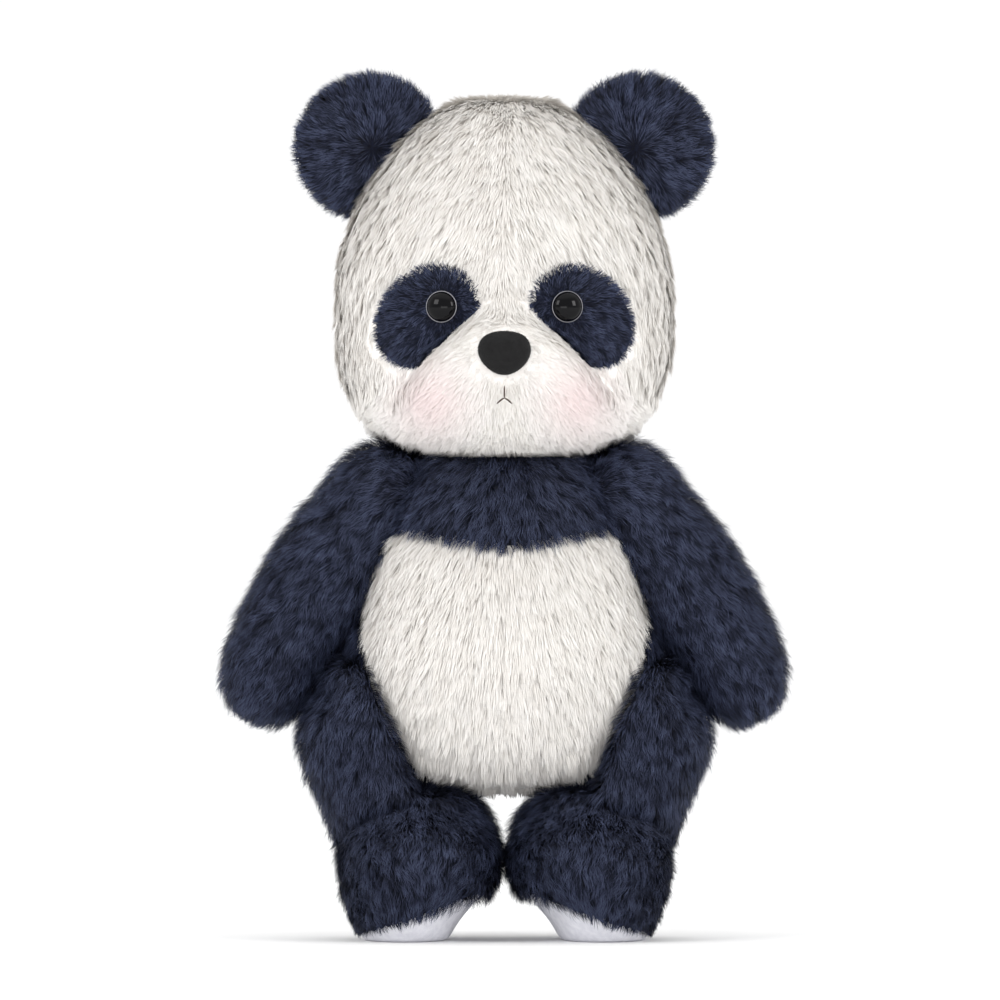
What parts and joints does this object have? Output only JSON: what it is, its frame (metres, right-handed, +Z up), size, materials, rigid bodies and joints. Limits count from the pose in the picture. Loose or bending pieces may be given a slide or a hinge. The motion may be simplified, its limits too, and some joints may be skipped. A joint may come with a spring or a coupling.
{
  "type": "plush panda",
  "caption": "Standing soft toy panda in long navy and white pile, with turning head, disc-jointed arms and legs, domed eyes and a flocked nose.",
  "frame": {"origin": "centre of the toy's footprint box at floor level", "axes": "+Z up, -Y the way the face looks, +X the toy's own left"},
  "size_m": [0.1896, 0.1238, 0.296],
  "materials": {
    "white_pile": "matte",
    "short_white_pile": "matte",
    "navy_pile": "matte",
    "sole_fabric": "matte",
    "stuffing": "matte",
    "eye_black": "gloss",
    "clear_lens": "gloss",
    "nose_flock": "matte",
    "thread": "satin",
    "white_plastic": "satin",
    "lock_steel": "satin"
  },
  "bodies": {
    "torso": {"chest_yoke": "navy_pile", "back_yoke": "navy_pile", "belly": "white_pile", "back_left": "white_pile", "back_right": "white_pile", "torso_stuffing": "stuffing", "neck_washer": "white_plastic", "flank_left": "navy_pile", "flank_right": "navy_pile", "shoulder_washer_left": "white_plastic", "shoulder_washer_right": "white_plastic", "hip_washer_left": "white_plastic", "hip_washer_right": "white_plastic"},
    "head": {"face_left": "white_pile", "face_right": "white_pile", "head_back_left": "white_pile", "head_back_right": "white_pile", "eye_patch_left": "navy_pile", "eye_patch_right": "navy_pile", "ear_front_left": "navy_pile", "ear_front_right": "navy_pile", "ear_back_left": "navy_pile", "ear_back_right": "navy_pile", "eye_left": "eye_black", "eye_right": "eye_black", "eye_lens_left": "clear_lens", "eye_lens_right": "clear_lens", "eye_washer_left": "white_plastic", "eye_washer_right": "white_plastic", "muzzle": "short_white_pile", "mouth_stitch": "thread", "nose": "nose_flock", "nose_washer": "white_plastic", "head_stuffing": "stuffing", "neck_disc": "white_plastic", "neck_lock": "lock_steel"},
    "arm_left": {"arm_outer_left": "navy_pile", "arm_inner_left": "navy_pile", "arm_stuffing_left": "stuffing", "shoulder_disc_left": "white_plastic", "shoulder_lock_left": "lock_steel"},
    "arm_right": {"arm_outer_right": "navy_pile", "arm_inner_right": "navy_pile", "arm_stuffing_right": "stuffing", "shoulder_disc_right": "white_plastic", "shoulder_lock_right": "lock_steel"},
    "leg_left": {"leg_outer_left": "navy_pile", "leg_inner_left": "navy_pile", "foot_upper_left": "navy_pile", "sole_left": "sole_fabric", "leg_stuffing_left": "stuffing", "hip_disc_left": "white_plastic", "hip_lock_left": "lock_steel"},
    "leg_right": {"leg_outer_right": "navy_pile", "leg_inner_right": "navy_pile", "foot_upper_right": "navy_pile", "sole_right": "sole_fabric", "leg_stuffing_right": "stuffing", "hip_disc_right": "white_plastic", "hip_lock_right": "lock_steel"}
  },
  "joints": [
    {"name": "head_turn", "type": "hinge", "parent": "torso", "child": "head", "pos_m": [0, 0.00871, 0.1668], "axis": [0, 0, 1], "continuous": true},
    {"name": "shoulder_left", "type": "hinge", "parent": "torso", "child": "arm_left", "pos_m": [0.0349, 0.00771, 0.1455], "axis": [-0.8829, 0, -0.4695], "range_deg": [-60, 90]},
    {"name": "hip_left", "type": "hinge", "parent": "torso", "child": "leg_left", "pos_m": [0.0428, -0.00029, 0.078], "axis": [-0.9397, 0, 0.342], "range_deg": [-12, 90]},
    {"name": "shoulder_right", "type": "hinge", "parent": "torso", "child": "arm_right", "pos_m": [-0.0349, 0.00771, 0.1455], "axis": [-0.8829, 0, 0.4695], "range_deg": [-60, 90]},
    {"name": "hip_right", "type": "hinge", "parent": "torso", "child": "leg_right", "pos_m": [-0.0428, -0.00029, 0.078], "axis": [-0.9397, 0, -0.342], "range_deg": [-12, 90]}
  ]
}
